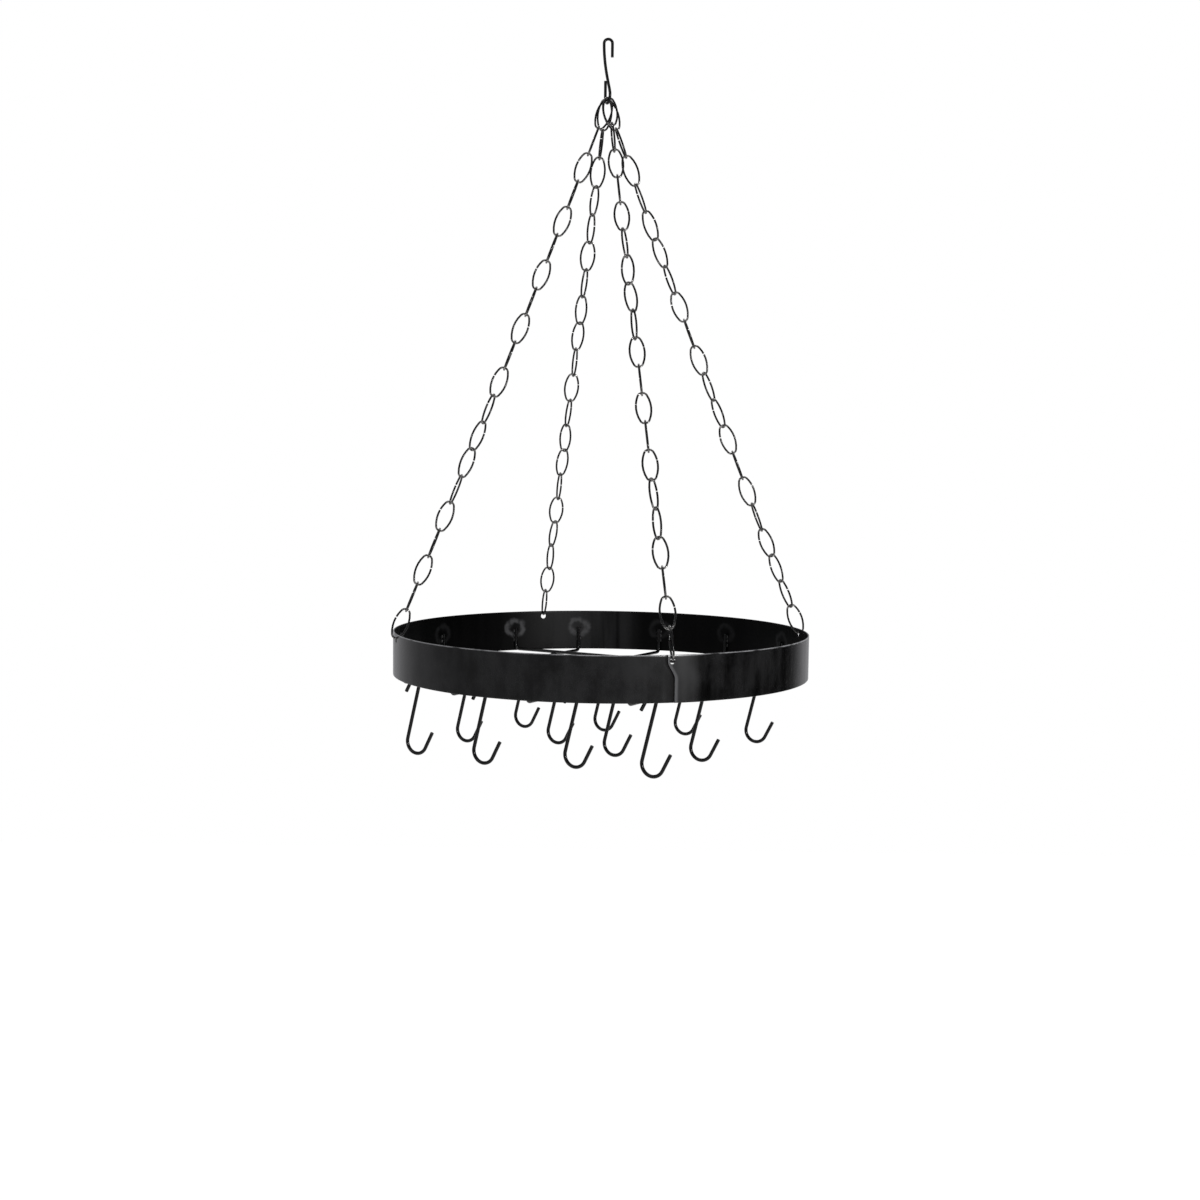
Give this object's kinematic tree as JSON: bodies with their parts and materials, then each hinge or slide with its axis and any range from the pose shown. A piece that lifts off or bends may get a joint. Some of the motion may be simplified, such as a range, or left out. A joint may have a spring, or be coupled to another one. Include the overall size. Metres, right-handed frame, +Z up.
{
  "type": "hanging pot rack",
  "caption": "Round hanging pot rack: a black steel hoop with a welded wire grid and loose pot hooks, on link chains gathered on a twisted S-hook.",
  "frame": {"origin": "Inside crown of the top hook's upper bend, where it rests on the ceiling eye; the rack hangs below it.", "axes": "+Z is up, along the rack's height; -Y is the front, with the hoop's lapped seam beside the front chain; +X is to the right seen from the front."},
  "size_m": [0.4412, 0.44, 0.7399],
  "materials": {
    "hoop_black": "satin black coating on steel strip",
    "grid_black": "satin black coating on steel wire",
    "chain_black": "satin black coating on chain wire",
    "pot_hook_black": "satin black coating on steel wire",
    "top_hook_black": "satin black coating on steel wire"
  },
  "bodies": {
    "top_hook": {"top_hook": "top_hook_black"},
    "rack": {"chain_front": "chain_black", "chain_left": "chain_black", "chain_right": "chain_black", "chain_back": "chain_black", "band": "hoop_black", "rail_1": "grid_black", "rail_2": "grid_black", "rail_3": "grid_black", "rail_4": "grid_black", "cross_wire_1": "grid_black", "cross_wire_2": "grid_black", "cross_wire_3": "grid_black"},
    "hanger_1": {"pot_hook_1": "pot_hook_black"},
    "hanger_2": {"pot_hook_2": "pot_hook_black"},
    "hanger_3": {"pot_hook_3": "pot_hook_black"},
    "hanger_4": {"pot_hook_4": "pot_hook_black"},
    "hanger_5": {"pot_hook_5": "pot_hook_black"},
    "hanger_6": {"pot_hook_6": "pot_hook_black"},
    "hanger_7": {"pot_hook_7": "pot_hook_black"},
    "hanger_8": {"pot_hook_8": "pot_hook_black"},
    "hanger_9": {"pot_hook_9": "pot_hook_black"},
    "hanger_10": {"pot_hook_10": "pot_hook_black"},
    "hanger_11": {"pot_hook_11": "pot_hook_black"},
    "hanger_12": {"pot_hook_12": "pot_hook_black"}
  },
  "joints": [
    {"name": "rack_swing", "type": "hinge", "parent": "top_hook", "child": "rack", "pos_m": [0, 0, -0.0631], "axis": [-0.309, 0.9511, 0], "range_deg": [-20, 20]},
    {"name": "pot_hook_1_swing", "type": "hinge", "parent": "rack", "child": "hanger_1", "pos_m": [-0.18973, -0.06642, -0.65922], "axis": [0.5, 0.866, 0], "range_deg": [-40, 40]},
    {"name": "pot_hook_2_swing", "type": "hinge", "parent": "rack", "child": "hanger_2", "pos_m": [-0.11717, -0.11555, -0.65922], "axis": [0.5, 0.866, 0], "range_deg": [-40, 40]},
    {"name": "pot_hook_3_swing", "type": "hinge", "parent": "rack", "child": "hanger_3", "pos_m": [-0.02518, -0.13101, -0.65922], "axis": [0.5, 0.866, 0], "range_deg": [-40, 40]},
    {"name": "pot_hook_4_swing", "type": "hinge", "parent": "rack", "child": "hanger_4", "pos_m": [0.05035, -0.175, -0.65922], "axis": [0.5, 0.866, 0], "range_deg": [-40, 40]},
    {"name": "pot_hook_5_swing", "type": "hinge", "parent": "rack", "child": "hanger_5", "pos_m": [-0.14504, 0.01099, -0.65922], "axis": [0.5, 0.866, 0], "range_deg": [-40, 40]},
    {"name": "pot_hook_6_swing", "type": "hinge", "parent": "rack", "child": "hanger_6", "pos_m": [-0.04684, 0.00626, -0.65922], "axis": [0.5, 0.866, 0], "range_deg": [-40, 40]},
    {"name": "pot_hook_7_swing", "type": "hinge", "parent": "rack", "child": "hanger_7", "pos_m": [0.01384, -0.06342, -0.65922], "axis": [0.5, 0.866, 0], "range_deg": [-40, 40]},
    {"name": "pot_hook_8_swing", "type": "hinge", "parent": "rack", "child": "hanger_8", "pos_m": [0.10229, -0.08504, -0.65922], "axis": [0.5, 0.866, 0], "range_deg": [-40, 40]},
    {"name": "pot_hook_9_swing", "type": "hinge", "parent": "rack", "child": "hanger_9", "pos_m": [-0.08779, 0.11015, -0.65922], "axis": [0.5, 0.866, 0], "range_deg": [-40, 40]},
    {"name": "pot_hook_10_swing", "type": "hinge", "parent": "rack", "child": "hanger_10", "pos_m": [0.00291, 0.09243, -0.65922], "axis": [0.5, 0.866, 0], "range_deg": [-40, 40]},
    {"name": "pot_hook_11_swing", "type": "hinge", "parent": "rack", "child": "hanger_11", "pos_m": [0.09284, 0.07341, -0.65922], "axis": [0.5, 0.866, 0], "range_deg": [-40, 40]},
    {"name": "pot_hook_12_swing", "type": "hinge", "parent": "rack", "child": "hanger_12", "pos_m": [0.16829, 0.02928, -0.65922], "axis": [0.5, 0.866, 0], "range_deg": [-40, 40]}
  ]
}
